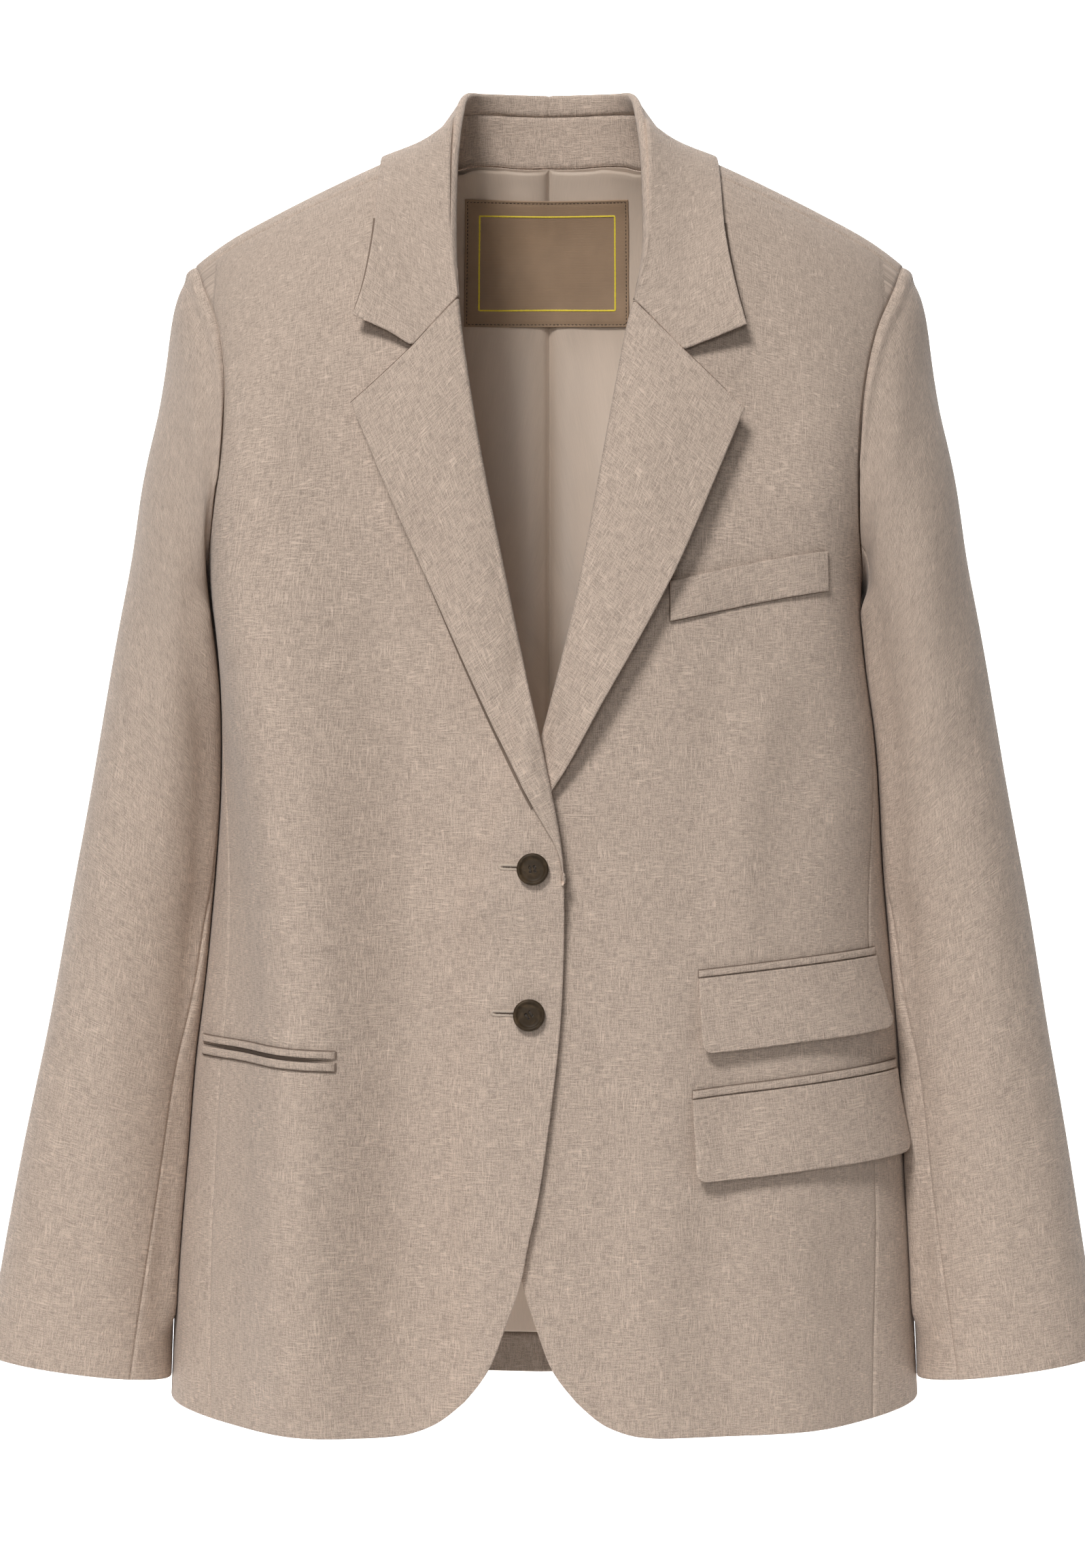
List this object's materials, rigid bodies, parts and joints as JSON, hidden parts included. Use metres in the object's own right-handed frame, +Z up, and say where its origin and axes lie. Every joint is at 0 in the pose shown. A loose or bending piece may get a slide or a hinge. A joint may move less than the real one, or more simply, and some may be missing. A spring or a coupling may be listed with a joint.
{
  "type": "single breasted blazer",
  "caption": "Single breasted blazer with notched lapels, flap and welt pockets, shown filled out and hollow as on a wearer.",
  "frame": {"origin": "between the two high points of the shoulders, where the wearer's neck leaves the garment", "axes": "+Z up, -Y to the front, +X towards the wearer's left"},
  "size_m": [0.6878, 0.257, 0.8273],
  "materials": {
    "cloth": "matt beige melange weave with slubs",
    "lining": "smooth brown lining with a soft sheen",
    "label": "woven dark brown label with a plain yellow frame",
    "button": "dark brown, slightly polished"
  },
  "bodies": {
    "root": {"front_right": "cloth", "front_left": "cloth", "side_body_right": "cloth", "side_body_left": "cloth", "back_right": "cloth", "back_left": "cloth", "top_sleeve_right": "cloth", "top_sleeve_left": "cloth", "under_sleeve_right": "cloth", "under_sleeve_left": "cloth", "lapel_right": "cloth", "lapel_left": "cloth", "collar_stand": "cloth", "collar_fall": "cloth", "chest_welt": "cloth", "ticket_jet": "cloth", "ticket_flap": "cloth", "hip_jet": "cloth", "hip_flap": "cloth", "pocket_jet_upper": "cloth", "pocket_jet_lower": "cloth", "back_hem": "cloth", "lining_right": "lining", "lining_left": "lining", "label": "label", "button_upper": "button", "button_lower": "button"}
  },
  "joints": []
}
